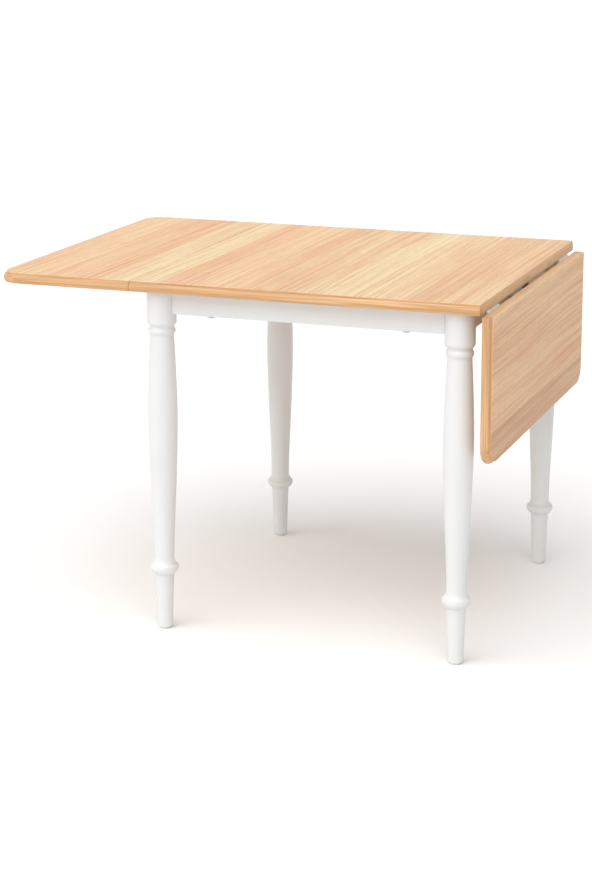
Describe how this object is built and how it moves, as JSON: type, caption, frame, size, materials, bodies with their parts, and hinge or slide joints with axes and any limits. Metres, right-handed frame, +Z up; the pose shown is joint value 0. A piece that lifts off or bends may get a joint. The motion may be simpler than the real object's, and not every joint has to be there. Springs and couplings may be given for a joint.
{
  "type": "drop-leaf table",
  "caption": "Drop-leaf dining table on turned white legs, with an oak-veneered top and a hinged leaf at each end, one raised and one hanging.",
  "frame": {"origin": "on the floor, midway between the four legs (the fixed frame's centre, whatever the leaves do)", "axes": "+X along the table towards the leaf that hangs at rest, +Y to the back, +Z up"},
  "size_m": [1.0677, 0.8, 0.75],
  "materials": {
    "oak_veneer": "clear-lacquered light oak veneer laid in strips",
    "oak_edging": "clear-lacquered solid oak moulding",
    "oak_board": "oak-faced board, lacquered",
    "white_paint": "satin white paint on turned and planed wood",
    "hinge_steel": "bright zinc plate",
    "zinc_steel": "zinc-plated steel",
    "nylon": "translucent white nylon",
    "rubber": "matt black rubber"
  },
  "bodies": {
    "table_frame": {"back_left_bracket": "zinc_steel", "back_left_glide": "nylon", "back_left_leg": "white_paint", "back_rail": "white_paint", "back_right_bracket": "zinc_steel", "back_right_glide": "nylon", "back_right_leg": "white_paint", "bracket_screws": "zinc_steel", "centre_back_edging": "oak_edging", "centre_core": "oak_board", "centre_front_edging": "oak_edging", "centre_veneer": "oak_veneer", "front_left_bracket": "zinc_steel", "front_left_glide": "nylon", "front_left_leg": "white_paint", "front_rail": "white_paint", "front_right_bracket": "zinc_steel", "front_right_glide": "nylon", "front_right_leg": "white_paint", "left_back_hinge_pin": "hinge_steel", "left_back_hinge_top_plate": "hinge_steel", "left_front_hinge_pin": "hinge_steel", "left_front_hinge_top_plate": "hinge_steel", "left_rail": "white_paint", "left_support_base": "zinc_steel", "left_support_pin": "zinc_steel", "left_support_screws": "zinc_steel", "leg_bolts": "zinc_steel", "leg_nuts": "zinc_steel", "right_back_hinge_pin": "hinge_steel", "right_back_hinge_top_plate": "hinge_steel", "right_front_hinge_pin": "hinge_steel", "right_front_hinge_top_plate": "hinge_steel", "right_rail": "white_paint", "right_support_base": "zinc_steel", "right_support_pin": "zinc_steel", "right_support_screws": "zinc_steel", "top_bolts": "zinc_steel", "top_hinge_screws": "zinc_steel"},
    "left_leaf": {"left_leaf_core": "oak_board", "left_leaf_edging": "oak_edging", "left_leaf_veneer": "oak_veneer", "left_leaf_hinge_screws": "zinc_steel", "left_front_hinge_leaf_plate": "hinge_steel", "left_back_hinge_leaf_plate": "hinge_steel"},
    "right_leaf": {"right_leaf_core": "oak_board", "right_leaf_edging": "oak_edging", "right_leaf_veneer": "oak_veneer", "right_leaf_hinge_screws": "zinc_steel", "right_front_hinge_leaf_plate": "hinge_steel", "right_back_hinge_leaf_plate": "hinge_steel"},
    "left_support": {"left_support_arm": "zinc_steel", "left_support_buffer": "rubber"},
    "right_support": {"right_support_arm": "zinc_steel", "right_support_buffer": "rubber"}
  },
  "joints": [
    {"name": "left_leaf_hinge", "type": "hinge", "parent": "table_frame", "child": "left_leaf", "pos_m": [-0.37135, 0, 0.72465], "axis": [0, -1, 0], "range_deg": [0, 90]},
    {"name": "right_leaf_hinge", "type": "hinge", "parent": "table_frame", "child": "right_leaf", "pos_m": [0.37135, 0, 0.72465], "axis": [0, -1, 0], "range_deg": [0, 90]},
    {"name": "left_support_pivot", "type": "hinge", "parent": "table_frame", "child": "left_support", "pos_m": [-0.35, 0, 0.7115], "axis": [0, -1, 0], "range_deg": [0, 90]},
    {"name": "right_support_pivot", "type": "hinge", "parent": "table_frame", "child": "right_support", "pos_m": [0.35, 0, 0.7115], "axis": [0, -1, 0], "range_deg": [0, 90]}
  ],
  "couplings": [
    {"joint": "left_support_pivot", "follows": "left_leaf_hinge", "ratio": 1},
    {"joint": "right_support_pivot", "follows": "right_leaf_hinge", "ratio": 1}
  ]
}
